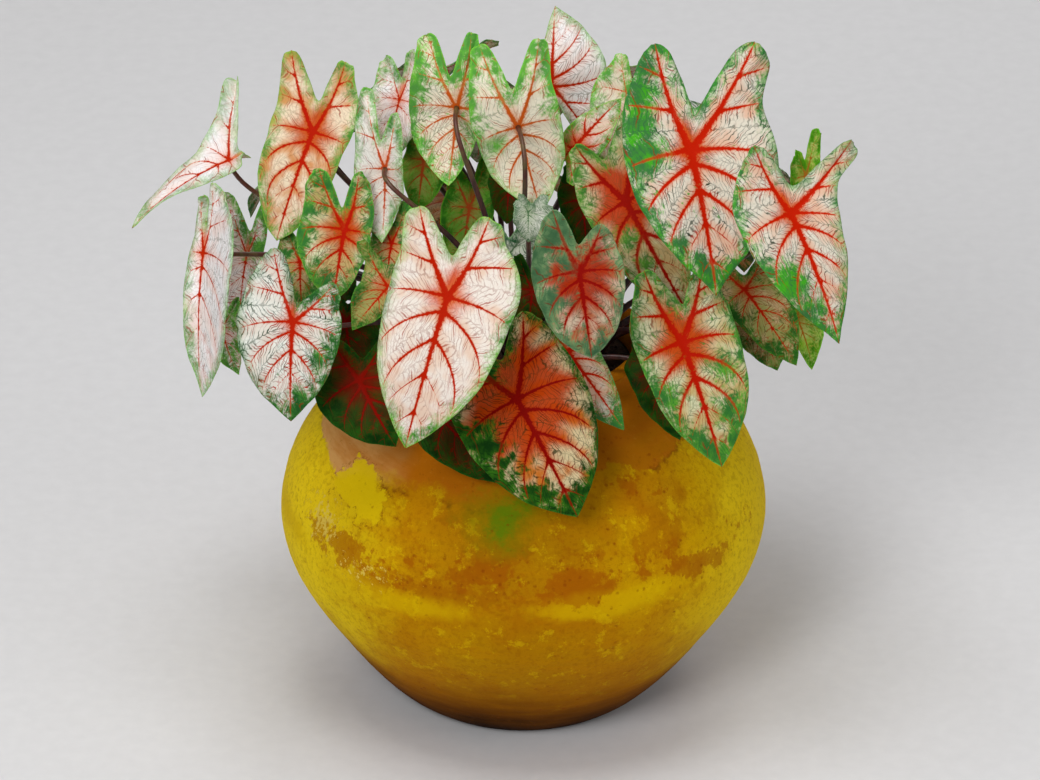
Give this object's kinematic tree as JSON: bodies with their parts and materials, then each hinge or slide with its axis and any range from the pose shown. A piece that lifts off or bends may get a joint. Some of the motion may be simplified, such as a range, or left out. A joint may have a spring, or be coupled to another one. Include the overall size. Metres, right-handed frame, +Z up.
{
  "type": "potted caladium",
  "caption": "Caladium with cream, pink and red veined heart-shaped leaves on dark stalks in a round-bellied yellow clay pot.",
  "frame": {"origin": "middle of the pot's flat foot, on the floor", "axes": "+Z up along the pot's axis, -Y the side seen from the front, +X to the right of that view"},
  "size_m": [0.709, 0.5897, 0.714],
  "materials": {
    "clay": "matte",
    "soil": "matte",
    "stalk": "satin",
    "leaf_cream": "satin",
    "leaf_pink": "satin",
    "leaf_red": "satin",
    "leaf_green": "satin"
  },
  "bodies": {
    "root": {"pot": "clay", "soil": "soil", "crown_front": "stalk", "crown_left": "stalk", "crown_right": "stalk", "crown_back": "stalk", "crown_middle": "stalk", "leaf_01": "leaf_pink", "leaf_02": "leaf_pink", "leaf_03": "leaf_green", "leaf_04": "leaf_cream", "leaf_05": "leaf_pink", "leaf_06": "leaf_green", "leaf_07": "leaf_cream", "leaf_08": "leaf_green", "leaf_09": "leaf_pink", "leaf_10": "leaf_green", "leaf_11": "leaf_cream", "leaf_12": "leaf_cream", "leaf_13": "leaf_red", "leaf_14": "leaf_green", "leaf_15": "leaf_pink", "leaf_16": "leaf_pink", "leaf_17": "leaf_red", "leaf_18": "leaf_pink", "leaf_19": "leaf_green", "leaf_20": "leaf_pink", "leaf_21": "leaf_green", "leaf_22": "leaf_cream", "leaf_23": "leaf_green", "leaf_24": "leaf_cream", "leaf_25": "leaf_red", "leaf_26": "leaf_green", "leaf_27": "leaf_red", "leaf_28": "leaf_green", "leaf_29": "leaf_red", "leaf_30": "leaf_green", "leaf_31": "leaf_cream", "leaf_32": "leaf_green", "leaf_33": "leaf_green", "leaf_34": "leaf_green", "leaf_35": "leaf_green", "leaf_36": "leaf_pink", "leaf_37": "leaf_cream", "leaf_38": "leaf_pink", "leaf_39": "leaf_cream", "leaf_40": "leaf_pink", "leaf_41": "leaf_green", "leaf_42": "leaf_red", "leaf_43": "leaf_pink", "leaf_44": "leaf_cream", "leaf_45": "leaf_red", "leaf_46": "leaf_green", "leaf_47": "leaf_green", "leaf_48": "leaf_pink", "leaf_49": "leaf_green", "leaf_50": "leaf_pink", "leaf_51": "leaf_green", "leaf_52": "leaf_green", "leaf_53": "leaf_green"}
  },
  "joints": []
}
